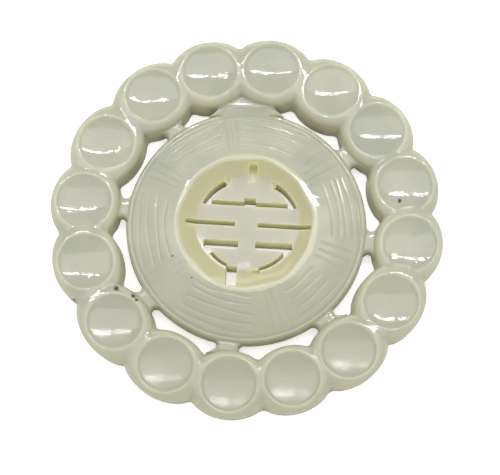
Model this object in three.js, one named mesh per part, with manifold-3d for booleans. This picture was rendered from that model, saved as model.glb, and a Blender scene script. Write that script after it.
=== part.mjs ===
// Openwork jade roundel, carved from one slice of a pebble: a ring of round bosses, each with a
// shallow dish on top, tied by short bridges to a domed disc. The disc has a round well in its
// middle, and the floor of the well is pierced as a longevity roundel.
//
// Millimetres, +Z up. The carving lies on its back: z = 0 is the level of its feet.

import * as THREE from 'three';
import { mergeVertices } from 'three/addons/utils/BufferGeometryUtils.js';
import Module from 'manifold-3d';

// Ring of bosses. They were spaced by eye: their places round the ring, in degrees.
const BOSS_PLACES = [
  14.5, 36.5, 58.5, 81, 103, 125, 149, 171.5, 193.5, 217.5, 241, 264, 286, 308, 331, 353,
];
const BOSS_RING_RADIUS = 24.75;
const BOSS_HALF_DEPTH = 5.25; // from the boss's axis outwards, along the radius
const BOSS_HALF_WIDTH = 6.65; // along the ring at even spacing, before the neighbours cut in
const BOSS_HEIGHT = 4.6;
const BOSS_WAIST_HEIGHT = 1.8; // level of the widest outline
const BOSS_SHOULDER = 0.72; // from the widest outline in to the rim
const BOSS_SHOULDER_START = 40; // degrees from level where the shoulder leaves the rim
const BOSS_FOOT_ROUNDING = 0.2;
const BOSS_FOOT_START = 15;
const BOSS_LEAN = 0.1; // how far the top leans outwards, per millimetre of height
const BOSS_SEGMENTS = 22;
const BOSS_FOOT_STEPS = 2;
const BOSS_SHOULDER_STEPS = 3;
const DISH_RADIUS = 4.4;
const DISH_DEPTH = 0.55;
const DISH_RING_RADIUS = 24.95;
const DISH_SEGMENTS = 20;
const DISH_STEPS = 3;

// Bridges between the disc and every second boss, and one more, at 92 degrees, where the gap at
// the top is so narrow that it was never opened.
const BRIDGE_PLACES = [36, 79, 92, 125.5, 170.5, 217, 261.5, 309.5, 353];
const BRIDGE_WIDTH = 3.3;
const BRIDGE_FLARE = 1.1; // how much wider each side gets where it meets the disc or the boss
const BRIDGE_INNER_RADIUS = 17.9;
const BRIDGE_OUTER_RADIUS = 20.6;
const BRIDGE_BOTTOM = 0.5;
const BRIDGE_TOP = 3.3;
const BRIDGE_ROUNDING = 0.5;
const BRIDGE_ROUNDING_STEPS = 2;
const BRIDGE_SIDE_STEPS = 3;

// Domed disc and its well.
const DISC_RADIUS = 18.4;
const DISC_EDGE_HEIGHT = 3.7; // top of the disc's rounded edge
const DISC_WAIST_HEIGHT = 2.4;
const DISC_EDGE_ROUNDING = 0.8;
const DISC_SEGMENTS = 56;
const DISC_LOWER_EDGE_STEPS = 2;
const DISC_UPPER_EDGE_STEPS = 3;
const DOME_STEPS = 4;
const CROWN_HEIGHT = 5.6; // highest level, round the mouth of the well
const CROWN_WIDTH = 0.5;
const DOME_BULGE = 0.25;
const WELL_MOUTH_RADIUS = 10.4;
const WELL_FLOOR_RADIUS = 7.9;
const WELL_FLOOR_HEIGHT = 4.3;
const WELL_SHIFT = [0.3, 0.1]; // the floor lies a little off the disc's centre
const BACK_RECESS_RADIUS = 8.6;
const BACK_RECESS_SLOPE = 0.7;
const BACK_RECESS_DEPTH = 0.4;

// The pierced roundel in the well's floor. Its own axes, u to the right and v up, are turned
// clockwise by a few degrees; each straight cut is a rectangle [u from, u to, v from, v to].
const ROUNDEL_TURN = -3.5;
const STRAIGHT_CUTS = {
  underTheArch: [-7.0, 7.0, 2.8, 3.55],
  archFoot: [-0.85, 0.95, 3.3, 4.15],
  archCrown: [-0.35, 0.85, 6.75, 9.6],
  archLeft: [-3.75, -3.05, 5.9, 7.4],
  archRight: [3.25, 3.95, 5.55, 7.1],
  middleLeft: [-9.6, -2.0, -0.47, 0.31],
  middleRight: [1.45, 9.6, -0.47, 0.31],
  lowerLeft: [-6.6, -1.35, -4.05, -2.7],
  lowerRight: [1.25, 6.9, -4.05, -2.7],
  legLeft: [-2.95, -1.3, -10.1, -6.75],
  legRight: [0.9, 2.2, -8.0, -7.2],
};
// Cuts that follow the well's wall: [middle radius, width, from degrees, to degrees].
const CURVED_CUTS = {
  archLeftSide: [7.35, 1.0, 121, 158],
  archRightSide: [7.35, 1.0, 22, 59],
  bowlRightSide: [7.25, 0.6, 286, 330],
  bowlLeftSide: [7.25, 0.5, 222, 247],
};

const CUT_OVERRUN = 1.0; // how far a cutting tool reaches past the surface it enters
const WELD_TOLERANCE = 1e-4;
const TAU = 2 * Math.PI;

const wasm = await Module();
wasm.setup();

function radians(degrees) {
  return THREE.MathUtils.degToRad(degrees);
}

/** Closed solid from a three.js geometry: welds its points and drops its empty triangles. */
function solidFrom(geometry) {
  const bare = geometry.clone();
  bare.deleteAttribute('normal');
  bare.deleteAttribute('uv');
  const welded = mergeVertices(bare, WELD_TOLERANCE);
  const index = welded.getIndex().array;
  const triangles = [];
  for (let i = 0; i < index.length; i += 3) {
    const [a, b, c] = [index[i], index[i + 1], index[i + 2]];
    if (a !== b && b !== c && c !== a) {
      triangles.push(a, b, c);
    }
  }
  return new wasm.Manifold(new wasm.Mesh({
    numProp: 3,
    vertProperties: new Float32Array(welded.getAttribute('position').array),
    triVerts: new Uint32Array(triangles),
  }));
}

/** Turned body about +Z from a profile of [radius, height] points, listed from the bottom up. */
function turned(profile, segments) {
  const points = profile.map(([radius, height]) => new THREE.Vector2(radius, height));
  return new THREE.LatheGeometry(points, segments).rotateX(Math.PI / 2);
}

/** Points of an elliptical arc, from one angle to another, both included. */
function arcPoints(centre, radii, fromDegrees, toDegrees, steps) {
  const points = [];
  for (let i = 0; i <= steps; i += 1) {
    const angle = radians(fromDegrees + ((toDegrees - fromDegrees) * i) / steps);
    points.push([centre[0] + radii[0] * Math.cos(angle), centre[1] + radii[1] * Math.sin(angle)]);
  }
  return points;
}

/** Profile of a boss's side: a rounded foot, the widest outline and the shoulder up to the rim. */
function bossSide() {
  const footAngle = radians(BOSS_FOOT_START);
  const footRadius = BOSS_FOOT_ROUNDING / (1 - Math.sin(footAngle));
  const footDrop = BOSS_WAIST_HEIGHT / Math.cos(footAngle);
  const foot = arcPoints(
    [BOSS_HALF_DEPTH - footRadius, BOSS_WAIST_HEIGHT],
    [footRadius, footDrop],
    BOSS_FOOT_START - 90,
    0,
    BOSS_FOOT_STEPS,
  );
  const shoulderAngle = radians(BOSS_SHOULDER_START);
  const shoulderRadius = BOSS_SHOULDER / (1 - Math.sin(shoulderAngle));
  const shoulderRise = (BOSS_HEIGHT - BOSS_WAIST_HEIGHT) / Math.cos(shoulderAngle);
  const shoulder = arcPoints(
    [BOSS_HALF_DEPTH - shoulderRadius, BOSS_WAIST_HEIGHT],
    [shoulderRadius, shoulderRise],
    0,
    90 - BOSS_SHOULDER_START,
    BOSS_SHOULDER_STEPS,
  );
  return [...foot, ...shoulder.slice(1)];
}

/** Room that a boss has between its neighbours, as a share of what even spacing gives. */
function bossRoom(number) {
  const count = BOSS_PLACES.length;
  const before = BOSS_PLACES[(number + count - 1) % count];
  const after = BOSS_PLACES[(number + 1) % count];
  const span = (after - before + 360) % 360;
  return span / 2 / (360 / count);
}

/** Moves a geometry made at the origin out along the radius, then round the ring. */
function placedOnRing(geometry, radius, angle) {
  return geometry.translate(radius, 0, 0).rotateZ(angle);
}

function boss(angle, room) {
  const profile = [[0, 0], ...bossSide(), [0, BOSS_HEIGHT]];
  const stretch = (room * BOSS_HALF_WIDTH) / BOSS_HALF_DEPTH;
  const lean = new THREE.Matrix4().makeShear(0, 0, 0, 0, BOSS_LEAN, 0);
  const body = turned(profile, BOSS_SEGMENTS)
    .scale(1, stretch, 1)
    .translate(0, 0, -BOSS_WAIST_HEIGHT)
    .applyMatrix4(lean)
    .translate(0, 0, BOSS_WAIST_HEIGHT);
  return solidFrom(placedOnRing(body, BOSS_RING_RADIUS, angle));
}

/** Shallow bowl-shaped cutter that leaves the dish on top of a boss. */
function dishCutter(angle) {
  const sphere = (DISH_RADIUS ** 2 + DISH_DEPTH ** 2) / (2 * DISH_DEPTH);
  const reach = THREE.MathUtils.radToDeg(Math.asin(DISH_RADIUS / sphere));
  const centreHeight = BOSS_HEIGHT - DISH_DEPTH + sphere;
  const cap = arcPoints([0, centreHeight], [sphere, sphere], -90, reach - 90, DISH_STEPS);
  const profile = [
    [0, BOSS_HEIGHT - DISH_DEPTH],
    ...cap.slice(1),
    [DISH_RADIUS, BOSS_HEIGHT + CUT_OVERRUN],
    [0, BOSS_HEIGHT + CUT_OVERRUN],
  ];
  return solidFrom(placedOnRing(turned(profile, DISH_SEGMENTS), DISH_RING_RADIUS, angle));
}

/** Short tie between the disc and a boss, waisted in the middle, with rounded long edges. */
function bridge(angle) {
  const half = BRIDGE_WIDTH / 2 - BRIDGE_ROUNDING;
  const wide = half + BRIDGE_FLARE;
  const middle = (BRIDGE_INNER_RADIUS + BRIDGE_OUTER_RADIUS) / 2;
  const outline = new THREE.Shape();
  outline.moveTo(BRIDGE_INNER_RADIUS, -wide);
  outline.quadraticCurveTo(middle, 2 * -half + wide, BRIDGE_OUTER_RADIUS, -wide);
  outline.lineTo(BRIDGE_OUTER_RADIUS, wide);
  outline.quadraticCurveTo(middle, 2 * half - wide, BRIDGE_INNER_RADIUS, wide);
  outline.closePath();
  const body = new THREE.ExtrudeGeometry(outline, {
    depth: BRIDGE_TOP - BRIDGE_BOTTOM - 2 * BRIDGE_ROUNDING,
    curveSegments: BRIDGE_SIDE_STEPS,
    bevelThickness: BRIDGE_ROUNDING,
    bevelSize: BRIDGE_ROUNDING,
    bevelSegments: BRIDGE_ROUNDING_STEPS,
  });
  return solidFrom(body.translate(0, 0, BRIDGE_BOTTOM + BRIDGE_ROUNDING).rotateZ(angle));
}

/** The domed disc, still without its well. */
function disc() {
  const crown = WELL_MOUTH_RADIUS + CROWN_WIDTH;
  const lip = DISC_RADIUS - DISC_EDGE_ROUNDING;
  const dome = [];
  for (let i = 1; i < DOME_STEPS; i += 1) {
    const share = i / DOME_STEPS;
    const straight = DISC_EDGE_HEIGHT + (CROWN_HEIGHT - DISC_EDGE_HEIGHT) * share;
    dome.push([
      lip + (crown - lip) * share,
      straight + DOME_BULGE * Math.sin(Math.PI * share),
    ]);
  }
  const profile = [
    [0, BACK_RECESS_DEPTH],
    [BACK_RECESS_RADIUS, BACK_RECESS_DEPTH],
    [BACK_RECESS_RADIUS + BACK_RECESS_SLOPE, 0],
    ...arcPoints(
      [lip, DISC_WAIST_HEIGHT],
      [DISC_EDGE_ROUNDING, DISC_WAIST_HEIGHT],
      -90,
      0,
      DISC_LOWER_EDGE_STEPS,
    ),
    ...arcPoints(
      [lip, DISC_WAIST_HEIGHT],
      [DISC_EDGE_ROUNDING, DISC_EDGE_HEIGHT - DISC_WAIST_HEIGHT],
      0,
      90,
      DISC_UPPER_EDGE_STEPS,
    ).slice(1),
    ...dome,
    [crown, CROWN_HEIGHT],
    [0, CROWN_HEIGHT],
  ];
  return solidFrom(turned(profile, DISC_SEGMENTS));
}

/** Slopes a geometry sideways, so that its axis runs from the disc's centre to the floor's. */
function leaned(geometry) {
  const drop = WELL_FLOOR_HEIGHT - CROWN_HEIGHT;
  const lean = new THREE.Matrix4().makeShear(0, 0, 0, 0, WELL_SHIFT[0] / drop, WELL_SHIFT[1] / drop);
  return geometry.translate(0, 0, -CROWN_HEIGHT).applyMatrix4(lean).translate(0, 0, CROWN_HEIGHT);
}

function wellCutter() {
  const slope = (WELL_MOUTH_RADIUS - WELL_FLOOR_RADIUS) / (CROWN_HEIGHT - WELL_FLOOR_HEIGHT);
  const profile = [
    [0, WELL_FLOOR_HEIGHT],
    [WELL_FLOOR_RADIUS, WELL_FLOOR_HEIGHT],
    [WELL_MOUTH_RADIUS + slope * CUT_OVERRUN, CROWN_HEIGHT + CUT_OVERRUN],
    [0, CROWN_HEIGHT + CUT_OVERRUN],
  ];
  return solidFrom(leaned(turned(profile, DISC_SEGMENTS)));
}

/** Puts a cutter that stands on z = 0 at the roundel, through its whole thickness. */
function placedOnRoundel(geometry) {
  return geometry
    .rotateZ(radians(ROUNDEL_TURN))
    .translate(WELL_SHIFT[0], WELL_SHIFT[1], -CUT_OVERRUN);
}

function straightCut([uFrom, uTo, vFrom, vTo]) {
  const height = CROWN_HEIGHT + 2 * CUT_OVERRUN;
  const block = new THREE.BoxGeometry(uTo - uFrom, vTo - vFrom, height);
  block.translate((uFrom + uTo) / 2, (vFrom + vTo) / 2, height / 2);
  return solidFrom(placedOnRoundel(block));
}

function curvedCut([radius, width, fromDegrees, toDegrees]) {
  const from = radians(fromDegrees);
  const to = radians(toDegrees);
  const outline = new THREE.Shape();
  outline.absarc(0, 0, radius + width / 2, from, to, false);
  outline.absarc(0, 0, radius - width / 2, to, from, true);
  outline.closePath();
  const block = new THREE.ExtrudeGeometry(outline, {
    depth: CROWN_HEIGHT + 2 * CUT_OVERRUN,
    curveSegments: Math.ceil((DISC_SEGMENTS * (to - from)) / TAU),
    bevelEnabled: false,
  });
  return solidFrom(placedOnRoundel(block));
}

/** Every boss, bridge and the disc joined, then the dishes, the well and the piercing cut. */
function carving() {
  let body = disc();
  const cuts = [wellCutter()];
  BOSS_PLACES.forEach((place, number) => {
    const angle = radians(place);
    body = body.add(boss(angle, bossRoom(number)));
    cuts.push(dishCutter(angle));
  });
  BRIDGE_PLACES.forEach((place) => {
    body = body.add(bridge(radians(place)));
  });
  cuts.push(...Object.values(STRAIGHT_CUTS).map(straightCut));
  cuts.push(...Object.values(CURVED_CUTS).map(curvedCut));
  return cuts.reduce((solid, cut) => solid.subtract(cut), body);
}

function geometryFrom(solid) {
  const mesh = solid.getMesh();
  const geometry = new THREE.BufferGeometry();
  geometry.setAttribute('position', new THREE.BufferAttribute(mesh.vertProperties, mesh.numProp));
  geometry.setIndex(new THREE.BufferAttribute(mesh.triVerts, 1));
  geometry.computeVertexNormals();
  return geometry;
}

const jade = new THREE.MeshStandardMaterial({ color: 0xc9cbb6, roughness: 0.18, metalness: 0.0 });

const part = new THREE.Group();
const roundel = new THREE.Mesh(geometryFrom(carving()), jade);
roundel.name = 'jade_carving';
part.add(roundel);

export default part;
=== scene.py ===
"""Openwork jade roundel: a ring of dished bosses round a domed disc with a pierced centre.

The carving is cut from one slice of stone, so it is one piece here too. It is modelled in
millimetres: the disc is turned and pierced, the bosses and bridges are joined to it, and the
whole is softened, polished and brought to metres. +Z is up out of the carved face, and the
origin is the ring's centre on the surface that the carving lies on.
"""

import logging
import math
from dataclasses import dataclass, field
from enum import Enum

import bmesh
import bpy
import numpy as np
from mathutils import Matrix, Vector, noise

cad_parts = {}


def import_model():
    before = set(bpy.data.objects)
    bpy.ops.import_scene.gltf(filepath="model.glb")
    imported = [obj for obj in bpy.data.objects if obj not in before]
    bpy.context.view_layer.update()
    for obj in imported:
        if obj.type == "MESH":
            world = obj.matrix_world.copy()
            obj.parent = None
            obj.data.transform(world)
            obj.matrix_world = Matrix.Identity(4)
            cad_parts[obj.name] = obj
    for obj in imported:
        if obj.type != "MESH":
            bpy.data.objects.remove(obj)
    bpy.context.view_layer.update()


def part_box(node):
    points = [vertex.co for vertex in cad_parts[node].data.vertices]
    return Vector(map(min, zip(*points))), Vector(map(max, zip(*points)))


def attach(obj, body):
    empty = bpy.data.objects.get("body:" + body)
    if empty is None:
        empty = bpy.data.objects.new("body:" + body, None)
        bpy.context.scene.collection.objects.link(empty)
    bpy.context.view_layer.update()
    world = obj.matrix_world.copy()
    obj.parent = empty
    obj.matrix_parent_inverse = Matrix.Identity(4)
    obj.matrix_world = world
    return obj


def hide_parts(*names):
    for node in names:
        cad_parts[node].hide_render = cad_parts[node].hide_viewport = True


LOG = logging.getLogger("jade_roundel")
MM = 0.001
NODE = "jade_carving"
WELD_DISTANCE = 1e-4


class Carve(Enum):
    """What a tool body does to the stone."""

    JOIN = "UNION"
    CUT = "DIFFERENCE"


class Outline:
    """A chain of edges in the XZ plane, drawn as a pen stroke and turned about the Z axis.

    The pen has a heading in degrees: 0 is outwards, 90 is up.
    """

    def __init__(self, radius: float, height: float, heading: float = 0.0) -> None:
        """Puts the pen down.

        Args:
            radius: Distance from the axis.
            height: Height of the starting point.
            heading: Direction that the first curve leaves in.
        """
        self.mesh = bmesh.new()
        self.heading = heading
        self.pen = self.mesh.verts.new((radius, 0.0, height))

    def line_to(self, radius: float, height: float, steps: int = 1) -> None:
        """Draws a straight stretch to a point and leaves the heading along it.

        Args:
            radius: Distance of the point from the axis.
            height: Height of the point.
            steps: Number of edges in the stretch.
        """
        start = self.pen.co.copy()
        for step in range(1, steps + 1):
            grown = bmesh.ops.extrude_vert_indiv(self.mesh, verts=[self.pen])
            self.pen = grown["verts"][0]
            self.pen.co = start.lerp(Vector((radius, 0.0, height)), step / steps)
        self.heading = math.degrees(math.atan2(height - start.z, radius - start.x))

    def curve(self, bend: float, turn: float, steps: int) -> None:
        """Draws an arc that leaves along the heading.

        Args:
            bend: Radius of the arc.
            turn: Degrees that the heading changes by; positive bends upwards.
            steps: Number of edges in the arc.
        """
        heading = math.radians(self.heading)
        side = Vector((-math.sin(heading), 0.0, math.cos(heading))) * math.copysign(bend, turn)
        spun = bmesh.ops.spin(
            self.mesh,
            geom=[self.pen],
            cent=self.pen.co + side,
            axis=(0.0, -1.0, 0.0),
            dvec=(0.0, 0.0, 0.0),
            angle=math.radians(turn),
            steps=steps,
        )
        self.pen = next(v for v in spun["geom_last"] if isinstance(v, bmesh.types.BMVert))
        self.heading += turn

    def turned(self, steps: int) -> bmesh.types.BMesh:
        """Turns the outline into a closed body.

        Args:
            steps: Number of faces round the axis.

        Returns:
            The body, with its faces pointing out.
        """
        bmesh.ops.spin(
            self.mesh,
            geom=self.mesh.verts[:] + self.mesh.edges[:],
            cent=(0.0, 0.0, 0.0),
            axis=(0.0, 0.0, 1.0),
            dvec=(0.0, 0.0, 0.0),
            angle=math.tau,
            steps=steps,
            use_merge=True,
            use_duplicate=False,
        )
        bmesh.ops.remove_doubles(self.mesh, verts=self.mesh.verts, dist=WELD_DISTANCE)
        bmesh.ops.recalc_face_normals(self.mesh, faces=self.mesh.faces)
        return self.mesh


class Stone:
    """The block under work: bodies are joined to it and cuts are taken out of it."""

    def __init__(self, body: bmesh.types.BMesh) -> None:
        """Starts from one body.

        Args:
            body: Closed body; it is used up.
        """
        self.block = self._working_object("stone", [body])

    @staticmethod
    def _working_object(name: str, bodies: list[bmesh.types.BMesh]) -> bpy.types.Object:
        """Puts bodies that don't touch each other into one working object.

        Args:
            name: Name of the object.
            bodies: The bodies; they are used up.

        Returns:
            The object, linked to the scene.
        """
        together = bmesh.new()
        for body in bodies:
            part = bpy.data.meshes.new(name)
            body.to_mesh(part)
            body.free()
            together.from_mesh(part)
            bpy.data.meshes.remove(part)
        mesh = bpy.data.meshes.new(name)
        together.to_mesh(mesh)
        together.free()
        working = bpy.data.objects.new(name, mesh)
        bpy.context.scene.collection.objects.link(working)
        return working

    def work(self, how: Carve, bodies: list[bmesh.types.BMesh]) -> None:
        """Joins bodies to the stone or cuts them out of it.

        Args:
            how: Whether the bodies are joined or cut.
            bodies: Bodies that don't touch each other; they are used up.
        """
        tool = self._working_object("tool", bodies)
        carving = self.block.modifiers.new("carving", "BOOLEAN")
        carving.solver = "MANIFOLD"
        carving.operation = how.value
        carving.object = tool
        shown = self.block.evaluated_get(bpy.context.evaluated_depsgraph_get())
        worked = bpy.data.meshes.new_from_object(shown)
        self.block.modifiers.clear()
        spent = [self.block.data, tool.data]
        self.block.data = worked
        bpy.data.objects.remove(tool)
        for mesh in spent:
            bpy.data.meshes.remove(mesh)

    def taken(self) -> bmesh.types.BMesh:
        """Returns the carved body and clears the working object away."""
        body = bmesh.new()
        body.from_mesh(self.block.data)
        mesh = self.block.data
        bpy.data.objects.remove(self.block)
        bpy.data.meshes.remove(mesh)
        return body


@dataclass
class BossRing:
    """Ring of round bosses with shallow dishes.

    Attributes:
        places: Place of each boss round the ring in degrees.
        ring_radius: Distance of the bosses from the ring's centre.
        top: Height of the rims.
        waist: Height of the widest outline.
        lean: How far outward a boss goes for each millimetre that it rises.
        dish_radius: Distance from a boss's middle within which it is round.
        dish_bend: Radius of the bowl of a dish.
        dish_rise: Steepness that the bowl reaches, in degrees.
        lip_bend: Radius of the tighter curve at a dish's edge.
        lip_rise: How much steeper that curve makes it, in degrees.
        dish_bottom: Height of the middle of a dish.
        dips: How far each dish faces towards -Y, in degrees.
        rim_bend: Radius of a rim.
        rim_steepness: Steepness at the outer side of a rim, in degrees.
        shoulder_bend: Radius of a shoulder.
        foot_bend: Radius of the edge of a foot.
        half_width: Half of a boss's width along the ring, where spacing is even.
        half_depth: Half of its depth across the ring.
        spread_over: How far beyond its dish a boss takes to become oval.
        segments: Number of faces round a boss.
    """

    places: tuple[float, ...] = (
        14.5, 36.5, 58.5, 81.0, 103.0, 125.0, 149.0, 171.5,
        193.5, 217.5, 241.0, 264.0, 286.0, 308.0, 331.0, 353.0,
    )
    ring_radius: float = 24.72
    top: float = 4.6
    waist: float = 1.8
    lean: float = 0.14
    dish_radius: float = 4.4
    dish_bend: float = 17.9
    dish_rise: float = 12.0
    lip_bend: float = 1.4
    lip_rise: float = 18.0
    dish_bottom: float = 3.985
    dips: tuple[float, ...] = (
        1.0, 0.7, -2.0, -0.8, -0.4, -0.6, 0.8, 0.3,
        2.2, -0.5, 0.8, 2.2, 0.8, 0.8, 2.4, 2.6,
    )
    rim_bend: float = 0.5
    rim_steepness: float = 45.0
    shoulder_bend: float = 1.77
    foot_bend: float = 0.3
    half_width: float = 6.65
    half_depth: float = 5.25
    spread_over: float = 0.6
    segments: int = 72

    def _outline(self) -> Outline:
        """Returns the outline of one boss, from the middle of its dish round to its underside."""
        line = Outline(0.0, self.dish_bottom)
        line.curve(self.dish_bend, self.dish_rise, 11)
        line.curve(self.lip_bend, self.lip_rise, 4)
        line.curve(self.rim_bend, -line.heading - self.rim_steepness, 5)
        line.curve(self.shoulder_bend, self.rim_steepness - 90.0, 8)
        line.line_to(line.pen.co.x, self.foot_bend, 4)
        line.curve(self.foot_bend, -90.0, 4)
        line.line_to(0.0, 0.0, 3)
        return line

    def _room(self, number: int) -> float:
        """Returns the room between a boss's neighbours, as a share of what even spacing gives."""
        count = len(self.places)
        span = (self.places[(number + 1) % count] - self.places[number - 1]) % 360.0
        return span / 2 / (360.0 / count)

    def _boss(self, number: int) -> bmesh.types.BMesh:
        """Makes one boss in its place on the ring.

        Args:
            number: Its number round the ring.

        Returns:
            The boss as a closed body.
        """
        body = self._outline().turned(self.segments)
        stretch = self._room(number) * self.half_width / self.half_depth
        place = math.radians(self.places[number])
        dip = math.tan(math.radians(self.dips[number]))
        for vert in body.verts:
            height = min(max((vert.co.z - self.waist) / (self.top - self.waist), 0.0), 1.0)
            towards_top = vert.co.x * math.sin(place) + vert.co.y * math.cos(place)
            vert.co.z += dip * height * towards_top
            beyond = math.hypot(vert.co.x, vert.co.y) - self.dish_radius
            share = min(max(beyond / self.spread_over, 0.0), 1.0)
            share = share * share * (3.0 - 2.0 * share)
            vert.co.y *= 1.0 + (stretch - 1.0) * share
            vert.co.x += self.lean * (vert.co.z - self.waist)
        swing = Matrix.Rotation(place, 4, "Z")
        body.transform(swing @ Matrix.Translation((self.ring_radius, 0.0, 0.0)))
        return body

    def bodies(self, start: int) -> list[bmesh.types.BMesh]:
        """Makes every second boss, which don't touch each other.

        Args:
            start: Number of the first one, 0 or 1.

        Returns:
            The bosses as closed bodies.
        """
        return [self._boss(number) for number in range(start, len(self.places), 2)]


@dataclass(frozen=True)
class Bridge:
    """One tie between the disc and the bosses.

    Attributes:
        place: Its place round the disc in degrees.
        width: Its width at the waist.
        outer: Distance of its outer end from the disc's centre.
        top: Height of its upper face at the disc.
        fall: How much lower the upper face is at the outer end.
    """

    place: float
    width: float = 3.4
    outer: float = 20.3
    top: float = 3.2
    fall: float = 0.0


@dataclass
class Bridges:
    """Short ties between the disc and the bosses, waisted, with filleted ends."""

    ties: tuple[Bridge, ...] = (
        Bridge(36.0),
        Bridge(90.0, 8.6, 21.9, 3.45, 0.5),
        Bridge(125.5, 3.0),
        Bridge(170.5, 3.0),
        Bridge(217.0),
        Bridge(261.5),
        Bridge(309.5),
        Bridge(353.0),
    )
    inner: float = 17.7
    bottom: float = 0.4
    rounding: float = 0.7
    rounding_steps: int = 5
    flare: float = 1.5
    slices: int = 14

    def _bridge(self, tie: Bridge) -> bmesh.types.BMesh:
        """Makes one bridge.

        Args:
            tie: Its place and sizes.

        Returns:
            The bridge as a closed body.
        """
        length = tie.outer - self.inner
        middle = (tie.outer + self.inner) / 2
        height = tie.top - self.bottom
        body = bmesh.new()
        bmesh.ops.create_cube(body, size=1.0)
        bmesh.ops.scale(body, vec=(length, tie.width, height), verts=body.verts)
        long_edges = [e for e in body.edges if abs(e.verts[0].co.x - e.verts[1].co.x) > length / 2]
        bmesh.ops.bevel(
            body,
            geom=long_edges,
            affect="EDGES",
            offset=self.rounding,
            segments=self.rounding_steps,
            profile=0.5,
            material=-1,
        )
        for slice_number in range(1, self.slices):
            bmesh.ops.bisect_plane(
                body,
                geom=body.verts[:] + body.edges[:] + body.faces[:],
                plane_co=(length * (slice_number / self.slices - 0.5), 0.0, 0.0),
                plane_no=(1.0, 0.0, 0.0),
            )
        for vert in body.verts:
            spread = self.flare * (2.0 * vert.co.x / length) ** 2
            vert.co.y += math.copysign(min(spread, abs(vert.co.y)), vert.co.y)
            if vert.co.z > 0.0:
                vert.co.z -= tie.fall * (vert.co.x / length + 0.5)
        bmesh.ops.translate(
            body,
            vec=(middle, 0.0, (tie.top + self.bottom) / 2),
            verts=body.verts,
        )
        body.transform(Matrix.Rotation(math.radians(tie.place), 4, "Z"))
        return body

    def bodies(self) -> list[bmesh.types.BMesh]:
        """Makes the bridges, which don't touch each other."""
        return [self._bridge(tie) for tie in self.ties]


@dataclass(frozen=True)
class LinePanel:
    """A group of lines incised along the disc's curve.

    Attributes:
        middle: Place of the group's middle in degrees.
        spread: How far the lines run each way, in degrees.
        radii: Distance of each line from the disc's centre.
        depth: Depth of the lines.
    """

    middle: float
    spread: float
    radii: tuple[float, ...]
    depth: float


@dataclass(frozen=True)
class RayGroup:
    """A group of straight lines incised outwards, between two panels.

    Attributes:
        places: Place of each line in degrees.
        depth: Depth of the lines.
    """

    places: tuple[float, ...]
    depth: float


@dataclass
class LinePattern:
    """The incised border and the panels of lines on the dome."""

    panels: tuple[LinePanel, ...] = (
        LinePanel(122.0, 18.5, (17.1, 15.9, 14.5, 13.0), 0.11),
        LinePanel(74.0, 19.0, (17.0, 15.9, 14.8, 13.6, 12.3), 0.09),
        LinePanel(10.0, 19.0, (17.3, 16.2, 15.2, 14.3, 13.1), 0.08),
        LinePanel(312.0, 14.0, (16.6, 15.2, 13.8, 12.3), 0.07),
        LinePanel(252.0, 22.0, (16.7, 15.5, 14.0, 12.6, 11.5), 0.08),
        LinePanel(184.0, 22.0, (16.6, 15.2, 13.8, 12.4), 0.05),
    )
    rays: tuple[RayGroup, ...] = (
        RayGroup((35.0, 40.5, 46.0), 0.08),
        RayGroup((95.5, 98.5, 101.5), 0.08),
        RayGroup((143.5, 148.0, 152.5), 0.09),
        RayGroup((208.0, 213.0, 218.0), 0.05),
        RayGroup((284.0, 289.0, 294.0), 0.06),
        RayGroup((334.0, 339.5, 345.0), 0.08),
    )
    border: float = 17.6
    border_depth: float = 0.13
    border_breadth: float = 1.2
    half_width: float = 0.24
    ray_inner: float = 11.6
    ray_outer: float = 17.2
    ray_fade: float = 0.5
    end_fade: float = 2.0
    wander: float = 0.1
    wander_waves: float = 7.0
    wander_shift: float = 140.0
    inset: float = 0.99
    straightness: float = 0.4
    straight_reach: float = 30.0

    def _groove(self, distance: np.ndarray) -> np.ndarray:
        """Returns how deep a rounded groove is, from 0 to 1, at each distance from its line."""
        return np.clip(1.0 - (distance / self.half_width) ** 2, 0.0, None)

    def depth(self, across: np.ndarray, along: np.ndarray) -> np.ndarray:
        """Works out the depth of the pattern.

        Args:
            across: Distances from the disc's centre.
            along: Places round the disc in degrees.

        Returns:
            The depth below the dome at each place.
        """
        from_border = np.abs(across - self.border) / self.border_breadth
        cut = self.border_depth * self._groove(from_border)
        for panel in self.panels:
            aside = (along - panel.middle + 180.0) % 360.0 - 180.0
            ends = np.clip((panel.spread - np.abs(aside)) / self.end_fade, 0.0, 1.0)
            near = np.clip(aside, -self.straight_reach, self.straight_reach)
            chord = 1.0 / np.cos(np.radians(near)) - 1.0
            for number, radius in enumerate(panel.radii):
                phase = np.radians(aside * self.wander_waves + self.wander_shift * number)
                drift = self.wander * np.sin(phase)
                line = radius * (self.inset + self.straightness * chord) + drift
                line_cut = panel.depth * ends * self._groove(np.abs(across - line))
                cut = np.maximum(cut, line_cut)
        inner = np.clip((across - self.ray_inner) / self.ray_fade, 0.0, 1.0)
        outer = np.clip((self.ray_outer - across) / self.ray_fade, 0.0, 1.0)
        for group in self.rays:
            for place in group.places:
                aside = (along - place + 180.0) % 360.0 - 180.0
                distance = np.abs(np.radians(aside)) * across
                cut = np.maximum(cut, group.depth * inner * outer * self._groove(distance))
        return cut


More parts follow.
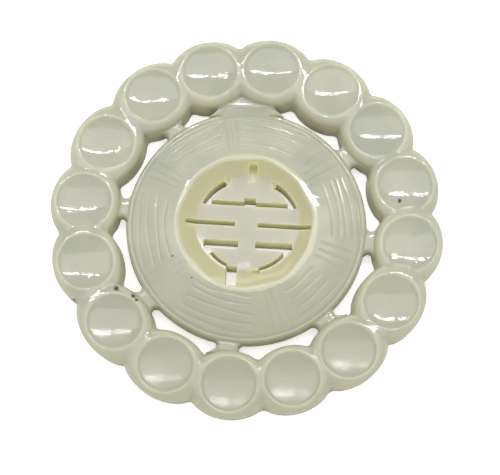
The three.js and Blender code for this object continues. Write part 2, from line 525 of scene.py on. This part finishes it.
@dataclass
class DomedDisc:
    """The domed disc, with the well in its middle and the incised lines on its dome."""

    floor_radius: float = 7.9
    floor_height: float = 4.3
    mouth_radius: float = 10.4
    crown: float = 5.6
    mouth_shift: tuple[float, float] = (-0.2, 0.0)
    floor_shift: tuple[float, float] = (0.3, 0.1)
    unevenness: float = 0.13
    settle_radius: float = 14.0
    mouth_margin: float = 0.1
    wall_hollow: float = 18.0
    lip_bend: float = 0.14
    dome_start: float = -7.6
    edge_start: float = -24.1
    edge_bend: float = 1.0
    radius: float = 18.38
    foot_bend: float = 1.1
    recess_radius: float = 8.6
    recess_slope: float = 0.7
    recess_depth: float = 0.4
    lines_from: float = 10.7
    lines_above: float = 2.1
    well_above: float = 0.9
    segments: int = 540
    pattern: LinePattern = field(default_factory=LinePattern)

    def body(self) -> bmesh.types.BMesh:
        """Makes the disc.

        Returns:
            The disc as a closed body, still without the cuts through its floor.
        """
        line = Outline(0.0, self.floor_height)
        line.line_to(self.floor_radius, self.floor_height, 3)
        rise = self.crown - self.floor_height
        run = self.mouth_radius - self.floor_radius
        wall = math.degrees(math.atan2(rise, run))
        bend = math.hypot(rise, run) / 2 / math.sin(math.radians(self.wall_hollow / 2))
        line.heading = wall - self.wall_hollow / 2
        line.curve(bend, self.wall_hollow, 7)
        line.curve(self.lip_bend, self.dome_start - line.heading, 4)
        edge = self.edge_bend * (1.0 + math.sin(math.radians(self.edge_start)))
        fall = math.sin(math.radians(self.dome_start)) - math.sin(math.radians(self.edge_start))
        dome_bend = (self.radius - edge - line.pen.co.x) / fall
        line.curve(dome_bend, self.edge_start - self.dome_start, 60)
        line.curve(self.edge_bend, -90.0 - self.edge_start, 7)
        line.line_to(line.pen.co.x, self.foot_bend, 4)
        line.curve(self.foot_bend, -90.0, 6)
        line.line_to(self.recess_radius + self.recess_slope, 0.0, 2)
        line.line_to(self.recess_radius, self.recess_depth)
        line.line_to(0.0, self.recess_depth, 2)
        body = line.turned(self.segments)
        self._incise(body)
        self._shift_well(body)
        return body

    def _incise(self, body: bmesh.types.BMesh) -> None:
        """Presses the line pattern into the dome of a body."""
        places = np.array([vert.co for vert in body.verts])
        across = np.hypot(places[:, 0], places[:, 1])
        along = np.degrees(np.arctan2(places[:, 1], places[:, 0])) % 360.0
        on_dome = (across > self.lines_from) & (places[:, 2] > self.lines_above)
        depths = np.where(on_dome, self.pattern.depth(across, along), 0.0)
        for vert, depth in zip(body.verts, depths):
            if depth > 0.0:
                vert.co.z -= depth

    def _shift_well(self, body: bmesh.types.BMesh) -> None:
        """Moves the well's mouth and floor a little off the disc's centre."""
        for vert in body.verts:
            across = math.hypot(vert.co.x, vert.co.y)
            if vert.co.z < self.well_above or across > self.settle_radius:
                continue
            settling = self.settle_radius - self.mouth_radius
            fade = min(max((self.settle_radius - across) / settling, 0.0), 1.0)
            level = (self.crown - vert.co.z) / (self.crown - self.floor_height)
            in_well = across <= self.mouth_radius + self.mouth_margin
            level = min(max(level, 0.0), 1.0) if in_well else 0.0
            around = math.atan2(vert.co.y, vert.co.x)
            uneven = math.sin(6.0 * around + 1.0) + 0.7 * math.sin(11.0 * around)
            growth = self.unevenness * (1.0 - level) * uneven / self.mouth_radius
            for axis in (0, 1):
                mouth, floor = self.mouth_shift[axis], self.floor_shift[axis]
                vert.co[axis] *= 1.0 + fade * growth
                vert.co[axis] += fade * (mouth + (floor - mouth) * level)


@dataclass(frozen=True)
class StraightCut:
    """A sawn slot of the roundel: a rectangle in the roundel's own axes.

    Attributes:
        left: Where it starts from left to right.
        right: Where it ends.
        low: Where it starts from the bottom up.
        high: Where it ends.
        floor: Height of its bottom; below zero it goes right through.
    """

    left: float
    right: float
    low: float
    high: float
    floor: float = -1.0


@dataclass(frozen=True)
class CurvedCut:
    """A sawn slot that follows the well's wall, right through."""

    radius: float
    width: float
    start: float
    end: float


@dataclass
class LongevityRoundel:
    """The pierced roundel in the floor of the well."""

    turn: float = -3.5
    centre: tuple[float, float] = (0.3, 0.1)
    ceiling: float = 7.0
    corner: float = 0.13
    corner_steps: int = 3
    curve_steps: int = 12
    straight: tuple[StraightCut, ...] = (
        StraightCut(-7.0, 7.0, 2.8, 3.55),
        StraightCut(-0.35, 0.85, 6.75, 9.6, 2.4),
        StraightCut(-3.65, -3.2, 5.9, 7.3, 3.3),
        StraightCut(3.35, 3.8, 5.55, 6.9, 3.3),
        StraightCut(-9.6, -2.0, -0.47, 0.31),
        StraightCut(1.45, 9.6, -0.47, 0.31),
        StraightCut(-6.6, -1.35, -4.05, -2.7),
        StraightCut(1.25, 6.9, -4.05, -2.7),
        StraightCut(-2.95, -1.3, -10.1, -6.75),
        StraightCut(0.9, 2.2, -8.0, -7.2, 3.2),
    )
    second: tuple[StraightCut, ...] = (StraightCut(-0.85, 0.95, 3.3, 4.15),)
    curved: tuple[CurvedCut, ...] = (
        CurvedCut(7.35, 1.0, 121.0, 158.0),
        CurvedCut(7.35, 1.0, 22.0, 59.0),
        CurvedCut(7.25, 0.6, 286.0, 330.0),
        CurvedCut(7.25, 0.5, 222.0, 247.0),
    )

    def _placed(self, body: bmesh.types.BMesh) -> bmesh.types.BMesh:
        """Puts a cutter at the roundel and returns it."""
        place = Matrix.Translation((self.centre[0], self.centre[1], 0.0))
        body.transform(place @ Matrix.Rotation(math.radians(self.turn), 4, "Z"))
        bmesh.ops.recalc_face_normals(body, faces=body.faces)
        return body

    def _straight_cutter(self, cut: StraightCut) -> bmesh.types.BMesh:
        """Makes the cutter of a straight slot.

        Args:
            cut: The slot.

        Returns:
            A box with rounded upright edges.
        """
        body = bmesh.new()
        bmesh.ops.create_cube(body, size=1.0)
        size = (cut.right - cut.left, cut.high - cut.low, self.ceiling - cut.floor)
        middle = (
            (cut.left + cut.right) / 2,
            (cut.low + cut.high) / 2,
            (self.ceiling + cut.floor) / 2,
        )
        bmesh.ops.scale(body, vec=size, verts=body.verts)
        upright = [e for e in body.edges if abs(e.verts[0].co.z - e.verts[1].co.z) > size[2] / 2]
        bmesh.ops.bevel(
            body,
            geom=upright,
            affect="EDGES",
            offset=self.corner,
            segments=self.corner_steps,
            profile=0.5,
            material=-1,
        )
        bmesh.ops.translate(body, vec=middle, verts=body.verts)
        return self._placed(body)

    def _curved_cutter(self, cut: CurvedCut) -> bmesh.types.BMesh:
        """Makes the cutter of a curved slot.

        Args:
            cut: The slot.

        Returns:
            A bent bar of the slot's section.
        """
        body = bmesh.new()
        bmesh.ops.create_grid(body, x_segments=1, y_segments=1, size=0.5)
        bmesh.ops.rotate(body, matrix=Matrix.Rotation(math.pi / 2, 3, "X"), verts=body.verts)
        bmesh.ops.scale(body, vec=(cut.width, 1.0, 2 * self.ceiling), verts=body.verts)
        bmesh.ops.translate(body, vec=(cut.radius, 0.0, 0.0), verts=body.verts)
        start = Matrix.Rotation(math.radians(cut.start), 3, "Z")
        bmesh.ops.rotate(body, matrix=start, verts=body.verts)
        bmesh.ops.spin(
            body,
            geom=body.verts[:] + body.edges[:] + body.faces[:],
            cent=(0.0, 0.0, 0.0),
            axis=(0.0, 0.0, 1.0),
            dvec=(0.0, 0.0, 0.0),
            angle=math.radians(cut.end - cut.start),
            steps=self.curve_steps,
        )
        return self._placed(body)

    def cutters(self) -> list[list[bmesh.types.BMesh]]:
        """Makes every cutter.

        Returns:
            Groups of cutters that don't touch each other.
        """
        return [
            [self._straight_cutter(cut) for cut in self.straight],
            [self._straight_cutter(cut) for cut in self.second],
            [self._curved_cutter(cut) for cut in self.curved],
        ]


@dataclass(frozen=True)
class Speck:
    """A spot of dirt held in a nick.

    Attributes:
        place: Its middle, in millimetres.
        size: Its half-width.
    """

    place: tuple[float, float]
    size: float


class NodeBench:
    """Shorthands for the shader nodes of one material, on Object coordinates."""

    def __init__(self, made: bpy.types.Material) -> None:
        """Starts on a material.

        Args:
            made: The material; its nodes are turned on.
        """
        made.use_nodes = True
        self.nodes, self.links = made.node_tree.nodes, made.node_tree.links
        self.where = self.nodes.new("ShaderNodeTexCoord").outputs["Object"]

    def cloud(self, size: float, detail: float, distortion: float) -> bpy.types.NodeSocket:
        """Adds a noise.

        Args:
            size: Size of its patches in millimetres.
            detail: How many finer layers it has.
            distortion: How much its patches are drawn out.

        Returns:
            Its value, from 0 to 1.
        """
        texture = self.nodes.new("ShaderNodeTexNoise")
        texture.inputs["Scale"].default_value = 1.0 / (size * MM)
        texture.inputs["Detail"].default_value = detail
        texture.inputs["Distortion"].default_value = distortion
        self.links.new(self.where, texture.inputs["Vector"])
        return texture.outputs["Fac"]

    def spread(
        self,
        value: bpy.types.NodeSocket,
        low: float,
        high: float,
        to_low: float = 0.0,
        to_high: float = 1.0,
    ) -> bpy.types.NodeSocket:
        """Stretches the part of a value between two limits over another range.

        Args:
            value: The value.
            low: Limit that becomes to_low.
            high: Limit that becomes to_high.
            to_low: One end of the new range.
            to_high: The other end.

        Returns:
            The stretched value, kept inside the new range.
        """
        fit = self.nodes.new("ShaderNodeMapRange")
        fit.inputs["From Min"].default_value = low
        fit.inputs["From Max"].default_value = high
        fit.inputs["To Min"].default_value = to_low
        fit.inputs["To Max"].default_value = to_high
        self.links.new(value, fit.inputs["Value"])
        return fit.outputs["Result"]

    def worked_out(
        self, operation: str, first: bpy.types.NodeSocket, second: bpy.types.NodeSocket
    ) -> bpy.types.NodeSocket:
        """Works out one value from two.

        Args:
            operation: What is done to them, as the math node names it.
            first: The first value.
            second: The second value.

        Returns:
            The outcome.
        """
        sum_node = self.nodes.new("ShaderNodeMath")
        sum_node.operation = operation
        self.links.new(first, sum_node.inputs[0])
        self.links.new(second, sum_node.inputs[1])
        return sum_node.outputs["Value"]

    def mixed(
        self,
        share: bpy.types.NodeSocket,
        first: bpy.types.NodeSocket | tuple[float, float, float],
        second: bpy.types.NodeSocket | tuple[float, float, float],
    ) -> bpy.types.NodeSocket:
        """Mixes two colours.

        Args:
            share: How much of the second there is.
            first: The first colour.
            second: The second colour.

        Returns:
            The mixed colour.
        """
        mix = self.nodes.new("ShaderNodeMix")
        mix.data_type = "RGBA"
        self.links.new(share, mix.inputs[0])
        for socket, colour in ((mix.inputs[6], first), (mix.inputs[7], second)):
            if isinstance(colour, tuple):
                socket.default_value = (*colour, 1.0)
            else:
                self.links.new(colour, socket)
        return mix.outputs[2]

    def distance_from(self, place: tuple[float, float]) -> bpy.types.NodeSocket:
        """Measures the level distance from a place.

        Args:
            place: The place, in millimetres.

        Returns:
            The distance, in millimetres.
        """
        level = self.nodes.new("ShaderNodeVectorMath")
        level.operation = "MULTIPLY"
        self.links.new(self.where, level.inputs[0])
        level.inputs[1].default_value = (1.0 / MM, 1.0 / MM, 0.0)
        gap = self.nodes.new("ShaderNodeVectorMath")
        gap.operation = "DISTANCE"
        self.links.new(level.outputs[0], gap.inputs[0])
        gap.inputs[1].default_value = (*place, 0.0)
        return gap.outputs["Value"]


@dataclass(frozen=True)
class JadeFinish:
    """Polished pale celadon nephrite.

    Attributes:
        cool: Colour of the greener patches.
        pale: Colour of the paler patches.
        lower_shade: Painted shade: colour that the stone is painted darker and yellower with
            towards its lower side.
        dirt: Colour of the specks.
        roughness: Roughness of the well-polished part.
        dull: Roughness of the lower side and of the cut surfaces.
        dull_from: Where along Y the polish begins to dull.
        dull_to: Where it is dullest.
        lower_shade_from: Where along Y the painted shade begins.
        lower_shade_to: Where it is full.
        refraction: Index of refraction.
        glow_depth: How far light goes into the stone.
        glow_colour: How far each colour of light goes, as a share of that.
        patch_size: Size of the patches of colour.
        ripple_size: Size of the finest ripples in the polish.
        ripple_height: Height of those ripples.
        ripple_strength: How much they show.
        specks: The specks of dirt.
    """

    cool: tuple[float, float, float] = (0.455, 0.465, 0.375)
    pale: tuple[float, float, float] = (0.53, 0.53, 0.42)
    # Painted shade of the lower side.
    lower_shade: tuple[float, float, float] = (0.45, 0.45, 0.345)
    dirt: tuple[float, float, float] = (0.09, 0.07, 0.04)
    roughness: float = 0.05
    dull: float = 0.2
    dull_from: float = -14.0
    dull_to: float = -20.0
    lower_shade_from: float = -2.0
    lower_shade_to: float = -26.0
    refraction: float = 1.61
    glow_depth: float = 2.6
    glow_colour: tuple[float, float, float] = (1.0, 0.95, 0.7)
    patch_size: float = 7.0
    ripple_size: float = 1.6
    ripple_height: float = 0.04
    ripple_strength: float = 0.8
    specks: tuple[Speck, ...] = (
        Speck((-19.6, -10.0), 0.35),
        Speck((-17.0, -11.2), 0.3),
        Speck((-16.5, -11.8), 0.25),
        Speck((-26.0, -11.7), 0.2),
        Speck((23.3, 3.8), 0.25),
        Speck((-11.1, -5.2), 0.12),
        Speck((-8.2, -8.6), 0.12),
    )

    def _colour(
        self,
        bench: NodeBench,
        along: bpy.types.NodeSocket,
        painted_light_and_shade: bpy.types.ShaderNode,
    ) -> bpy.types.NodeSocket:
        """Works out the stone's colour.

        Args:
            bench: The material's nodes.
            along: Distance along Y.
            painted_light_and_shade: The carving's attribute of painted light and shade.

        Returns:
            The colour, with its patches, painted light and shade, and specks.
        """
        patches = bench.spread(bench.cloud(self.patch_size, 3.0, 0.6), 0.35, 0.7)
        skin = bench.mixed(patches, self.cool, self.pale)
        # Painted shade: the stone is painted darker and yellower towards its lower side, where
        # less light falls on it.
        turned = bench.spread(along, self.lower_shade_from * MM, self.lower_shade_to * MM)
        skin = bench.mixed(turned, skin, self.lower_shade)
        # Painted light and shade: on steep walls, in the well and in the slots, the attribute's
        # colour takes the skin's place.
        colour = bench.mixed(painted_light_and_shade.outputs["Alpha"], skin, painted_light_and_shade.outputs["Color"])
        for speck in self.specks:
            edge = bench.spread(bench.cloud(0.5, 2.0, 0.0), -0.2, 0.9)
            ragged = bench.worked_out("MULTIPLY", bench.distance_from(speck.place), edge)
            held = bench.spread(ragged, speck.size, speck.size * 0.4)
            colour = bench.mixed(held, colour, self.dirt)
        return colour

    def material(self) -> bpy.types.Material:
        """Builds the jade.

        Returns:
            A procedural material on Object coordinates and the carving's attribute of painted
            light and shade.
        """
        made = bpy.data.materials.new("jade")
        bench = NodeBench(made)
        shader = bench.nodes["Principled BSDF"]
        shader.inputs["IOR"].default_value = self.refraction
        shader.inputs["Subsurface Weight"].default_value = 1.0
        shader.inputs["Subsurface Radius"].default_value = self.glow_colour
        shader.inputs["Subsurface Scale"].default_value = self.glow_depth * MM
        axes = bench.nodes.new("ShaderNodeSeparateXYZ")
        bench.links.new(bench.where, axes.inputs["Vector"])
        along = axes.outputs["Y"]
        # Reads the carving's painted light and shade.
        painted_light_and_shade = bench.nodes.new("ShaderNodeAttribute")
        painted_light_and_shade.attribute_name = "painted_light_and_shade"
        bench.links.new(self._colour(bench, along, painted_light_and_shade), shader.inputs["Base Color"])
        low = bench.spread(along, self.dull_from * MM, self.dull_to * MM)
        worn = bench.worked_out("MAXIMUM", low, painted_light_and_shade.outputs["Alpha"])
        polish = bench.spread(worn, 0.0, 1.0, self.roughness, self.dull)
        bench.links.new(polish, shader.inputs["Roughness"])
        bump = bench.nodes.new("ShaderNodeBump")
        bump.inputs["Strength"].default_value = self.ripple_strength
        bump.inputs["Distance"].default_value = self.ripple_height * MM
        bench.links.new(bench.cloud(self.ripple_size, 3.0, 0.0), bump.inputs["Height"])
        bench.links.new(bump.outputs["Normal"], shader.inputs["Normal"])
        return made


class Surface(Enum):
    """Kinds of surface, each with the painted light or shade that colours it and how far that
    stands in for the skin's.
    """

    # Painted shade: warm tan that steep polished walls are painted with, each corner by its
    # steepness.
    POLISHED = (0.56, 0.53, 0.31, 0.0)
    # Painted light: flat colour of the well's floor, standing in for light showing through its
    # thin stone.
    WELL_FLOOR = (0.50, 0.485, 0.39, 0.9)
    # Painted shade: warm tan of the well's wall, standing in for the shade that it lies in.
    WELL_WALL = (0.56, 0.53, 0.31, 0.9)
    # Painted light: a lighter band on the well's rounded lip.
    WELL_LIP = (0.68, 0.66, 0.50, 0.6)
    # Painted light: near-white warm glow on the slots' walls, standing in for light coming through
    # the stone.
    SLOT = (0.97, 0.93, 0.64, 1.0)


@dataclass
class JadeCarving:
    """The whole carving, from the joined bodies to the polished mesh.

    Attributes:
        ring: The bosses.
        bridges: The ties between the bosses and the disc.
        disc: The disc.
        roundel: The cuts through the disc's floor.
        finish: The stone.
        sliver: Length below which an edge is taken out.
        soft_from: Distance from the centre beyond which inner creases are rounded.
        soft_angle: Steepness of the creases that are rounded, in degrees.
        soft_rings: How many faces wide the rounding is.
        soft_passes: How many times it is gone over.
        sharp_angle: Steepness of the edges that stay crisp, in degrees.
        waviness: Height of the waves of hand polishing.
        wave_scale: How close the waves are.
        wave_above: Height above the back from which there are waves.
        clearance: How far inside the solid's space the carving stays.
        gap_radius: Distance from the centre within which walls face the gap.
        gap_wall_shade: How strongly upright walls in the gap are painted with warm shade.
        side_wall_shade: How strongly they are painted elsewhere.
        wall_shade_from: Upward part of the normal below which a wall starts to take painted shade.
        wall_shade_over: How much less it is where the wall takes the most.
        well_reach: How far beyond its mouth the well's lip goes.
        back_height: Height below which a face is part of the back.
        steep_below: Upward part of the normal below which a well's face is a cut's.
        floor_margin: How far below the well's floor a cut begins.
        lip_drop: How far below the crown the well's wall begins.
    """

    ring: BossRing = field(default_factory=BossRing)
    bridges: Bridges = field(default_factory=Bridges)
    disc: DomedDisc = field(default_factory=DomedDisc)
    roundel: LongevityRoundel = field(default_factory=LongevityRoundel)
    finish: JadeFinish = field(default_factory=JadeFinish)
    sliver: float = 0.002
    soft_from: float = 17.7
    soft_angle: float = 14.0
    soft_rings: int = 2
    soft_passes: int = 7
    sharp_angle: float = 34.0
    waviness: float = 0.035
    wave_scale: float = 0.28
    wave_above: float = 0.3
    clearance: float = 0.01
    gap_radius: float = 24.0
    gap_wall_shade: float = 0.6
    side_wall_shade: float = 0.25
    wall_shade_from: float = 0.8
    wall_shade_over: float = 0.6
    well_reach: float = 0.45
    back_height: float = 0.6
    steep_below: float = 0.5
    floor_margin: float = 0.15
    lip_drop: float = 0.2

    def build(self) -> bpy.types.Object:
        """Carves, softens, fits and dresses the carving.

        Returns:
            The finished object, riding on the frame.
        """
        stone = Stone(self.disc.body())
        for cutters in self.roundel.cutters():
            stone.work(Carve.CUT, cutters)
        for start in (0, 1):
            stone.work(Carve.JOIN, self.ring.bodies(start))
        stone.work(Carve.JOIN, self.bridges.bodies())
        body = stone.taken()
        bmesh.ops.dissolve_degenerate(body, edges=body.edges, dist=self.sliver)
        self._soften(body)
        self._polish_waves(body)
        self._fit(body)
        bmesh.ops.recalc_face_normals(body, faces=body.faces)
        mesh = bpy.data.meshes.new("jade_roundel")
        body.to_mesh(mesh)
        body.free()
        mesh.shade_smooth()
        mesh.set_sharp_from_angle(angle=math.radians(self.sharp_angle))
        self._paint_light_and_shade(mesh)
        mesh.materials.append(self.finish.material())
        carving = bpy.data.objects.new("jade_roundel", mesh)
        bpy.context.scene.collection.objects.link(carving)
        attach(carving, "root")
        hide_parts(NODE)
        return carving

    def _soften(self, body: bmesh.types.BMesh) -> None:
        """Rounds the inner creases where bosses and bridges run together."""
        inward = -math.radians(self.soft_angle)
        creases = {
            vert
            for edge in body.edges
            if len(edge.link_faces) == 2 and edge.calc_face_angle_signed() < inward
            for vert in edge.verts
            if math.hypot(vert.co.x, vert.co.y) > self.soft_from
        }
        near = set(creases)
        for _ in range(self.soft_rings):
            near |= {edge.other_vert(vert) for vert in near for edge in vert.link_edges}
        near = [v for v in near if math.hypot(v.co.x, v.co.y) > self.soft_from]
        for _ in range(self.soft_passes):
            bmesh.ops.smooth_vert(
                body,
                verts=near,
                factor=0.5,
                use_axis_x=True,
                use_axis_y=True,
                use_axis_z=True,
            )

    def _polish_waves(self, body: bmesh.types.BMesh) -> None:
        """Gives the surface the slight waves of hand polishing."""
        body.normal_update()
        moves = [
            vert.normal * (noise.noise(vert.co * self.wave_scale) * self.waviness)
            for vert in body.verts
        ]
        for vert, move in zip(body.verts, moves):
            if vert.co.z > self.wave_above:
                vert.co += move

    def _fit(self, body: bmesh.types.BMesh) -> None:
        """Brings the body to metres, just inside the space of the solid it stands for."""
        low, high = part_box(NODE)
        lowest = [min(vert.co[axis] for vert in body.verts) for axis in range(3)]
        highest = [max(vert.co[axis] for vert in body.verts) for axis in range(3)]
        scale = MM
        for axis in (0, 1):
            scale = min(scale, (high[axis] - self.clearance * MM) / highest[axis])
            scale = min(scale, (low[axis] + self.clearance * MM) / lowest[axis])
        flat = min(scale, (high[2] - self.clearance * MM) / highest[2])
        LOG.info("fitted by %.4f across and %.4f in height", scale / MM, flat / MM)
        bmesh.ops.scale(body, vec=(scale, scale, flat), verts=body.verts)
        floor = max(low[2] - lowest[2] * flat, 0.0)
        bmesh.ops.translate(body, vec=(0.0, 0.0, floor), verts=body.verts)

    def _surface(self, x: float, y: float, z: float, upright: float) -> Surface:
        """Tells what kind of surface a face is.

        Args:
            x: Middle of the face.
            y: Middle of the face.
            z: Middle of the face.
            upright: Upward part of its normal.

        Returns:
            The kind of surface.
        """
        disc = self.disc
        if math.hypot(x, y) > disc.mouth_radius + self.well_reach or z < self.back_height:
            return Surface.POLISHED
        if upright < self.steep_below or z < disc.floor_height - self.floor_margin:
            return Surface.SLOT
        if math.hypot(x - disc.floor_shift[0], y - disc.floor_shift[1]) < disc.floor_radius:
            return Surface.WELL_FLOOR
        on_wall = z < disc.crown - self.lip_drop
        return Surface.WELL_WALL if on_wall else Surface.WELL_LIP

    def _paint_light_and_shade(self, mesh: bpy.types.Mesh) -> None:
        """Stores the painted light and shade that stand in for the polished skin's colour, and how
        far they do.

        Args:
            mesh: The finished mesh, in metres.
        """
        # Painted light and shade: one colour and share for each corner.
        painted_light_and_shade = mesh.attributes.new("painted_light_and_shade", "FLOAT_COLOR", "CORNER")
        values = np.zeros((len(mesh.loops), 4), np.float32)
        normals = mesh.corner_normals
        for face in mesh.polygons:
            corners = slice(face.loop_start, face.loop_start + face.loop_total)
            surface = self._surface(*(face.center / MM), face.normal.z)
            values[corners] = surface.value
            # Painted shade: steep polished faces are painted warm tan, more so in the gap between
            # the disc and the bosses.
            if surface is Surface.POLISHED:
                in_gap = math.hypot(face.center.x, face.center.y) / MM < self.gap_radius
                most = self.gap_wall_shade if in_gap else self.side_wall_shade
                for corner in face.loop_indices:
                    steep = (self.wall_shade_from - normals[corner].vector.z) / self.wall_shade_over
                    values[corner, 3] = most * min(max(steep, 0.0), 1.0)
        painted_light_and_shade.data.foreach_set("color", values.ravel())


@dataclass
class Floor:
    """Plain pale floor that the carving lies on.

    Attributes:
        size: Its length and width in metres.
        drop: How far it lies below the carving, in millimetres.
        brightness: Light that it adds of its own, only as the camera sees it.
        bounce: Share of the light that it sends back.
    """

    size: float = 3.0
    drop: float = 0.02
    brightness: float = 0.6
    bounce: float = 0.85

    def build(self) -> bpy.types.Object:
        """Returns the floor, which is not attached to the carving."""
        sheet = bmesh.new()
        bmesh.ops.create_grid(sheet, x_segments=1, y_segments=1, size=self.size / 2)
        bmesh.ops.translate(sheet, vec=(0.0, 0.0, -self.drop * MM), verts=sheet.verts)
        mesh = bpy.data.meshes.new("floor")
        sheet.to_mesh(mesh)
        sheet.free()
        pale = bpy.data.materials.new("pale_floor")
        pale.use_nodes = True
        nodes, links = pale.node_tree.nodes, pale.node_tree.links
        shader = nodes["Principled BSDF"]
        shader.inputs["Base Color"].default_value = (self.bounce, self.bounce, self.bounce, 1.0)
        shader.inputs["Roughness"].default_value = 0.9
        shader.inputs["Specular IOR Level"].default_value = 0.0
        glow = nodes.new("ShaderNodeMath")
        glow.operation = "MULTIPLY"
        glow.inputs[1].default_value = self.brightness
        links.new(nodes.new("ShaderNodeLightPath").outputs["Is Camera Ray"], glow.inputs[0])
        shader.inputs["Emission Color"].default_value = (1.0, 1.0, 0.99, 1.0)
        links.new(glow.outputs["Value"], shader.inputs["Emission Strength"])
        mesh.materials.append(pale)
        floor = bpy.data.objects.new("floor", mesh)
        bpy.context.scene.collection.objects.link(floor)
        return floor


@dataclass(frozen=True)
class Panel:
    """A soft light panel that faces the carving.

    Attributes:
        name: Its name.
        tilt: Degrees from straight up, towards +Y.
        aside: Degrees to the right of that, towards +X.
        distance: Distance from the carving in metres.
        size: Width and height in metres.
        power: Its power in watts.
        diffuse: Whether it lights the stone as well as shining in its polish.
    """

    name: str
    tilt: float
    aside: float
    distance: float
    size: tuple[float, float]
    power: float
    diffuse: bool = True


@dataclass
class Studio:
    """Soft studio light: two strips and a broad panel overhead, one low behind, and a sky."""

    panels: tuple[Panel, ...] = (
        Panel("left_strip", 24.0, -9.5, 0.8, (0.2, 0.016), 0.3),
        Panel("right_strip", 24.0, 9.5, 0.8, (0.24, 0.016), 0.75),
        Panel("overhead", 12.0, 0.0, 1.0, (1.1, 0.38), 1.7),
        Panel("rim", 66.0, 0.0, 1.1, (1.5, 0.12), 1.9, diffuse=False),
    )
    sky: tuple[float, float, float] = (1.0, 1.0, 0.985)
    sky_strength: float = 0.83

    def build(self) -> None:
        """Hangs the panels and sets the sky."""
        for panel in self.panels:
            light = bpy.data.lights.new(panel.name, "AREA")
            light.shape = "RECTANGLE"
            light.size, light.size_y = panel.size
            light.energy = panel.power
            lamp = bpy.data.objects.new(panel.name, light)
            lamp.visible_diffuse = panel.diffuse
            tilt = Matrix.Rotation(math.radians(-panel.tilt), 4, "X")
            aside = Matrix.Rotation(math.radians(panel.aside), 4, "Y")
            lamp.matrix_world = tilt @ aside @ Matrix.Translation((0.0, 0.0, panel.distance))
            bpy.context.scene.collection.objects.link(lamp)
        world = bpy.data.worlds.new("sky")
        world.use_nodes = True
        sky = world.node_tree.nodes["Background"]
        sky.inputs["Color"].default_value = (*self.sky, 1.0)
        sky.inputs["Strength"].default_value = self.sky_strength
        bpy.context.scene.world = world
        bpy.context.scene.view_settings.view_transform = "Standard"


@dataclass
class Viewpoint:
    """The camera: nearly overhead, from the carving's lower edge."""

    elevation: float = 74.6
    distance: float = 0.461
    lens: float = 218.6
    sensor_width: float = 36.0
    aim: tuple[float, float, float] = (0.56, -1.70, 3.0)

    def build(self) -> None:
        """Places the camera and makes it the scene's."""
        camera = bpy.data.cameras.new("camera")
        camera.lens = self.lens
        camera.sensor_width = self.sensor_width
        viewer = bpy.data.objects.new("camera", camera)
        target = Matrix.Translation(Vector(self.aim) * MM)
        tilt = Matrix.Rotation(math.radians(90.0 - self.elevation), 4, "X")
        viewer.matrix_world = target @ tilt @ Matrix.Translation((0.0, 0.0, self.distance))
        bpy.context.scene.collection.objects.link(viewer)
        bpy.context.scene.camera = viewer


def main() -> None:
    """Builds the scene and reports each piece."""
    logging.basicConfig(level=logging.INFO, format="%(name)s: %(message)s")
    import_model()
    Viewpoint().build()
    Studio().build()
    Floor().build()
    carving = JadeCarving().build()
    triangles = sum(len(face.vertices) - 2 for face in carving.data.polygons)
    LOG.info("%s: %d triangles", carving.name, triangles)


if __name__ == "__main__":
    main()
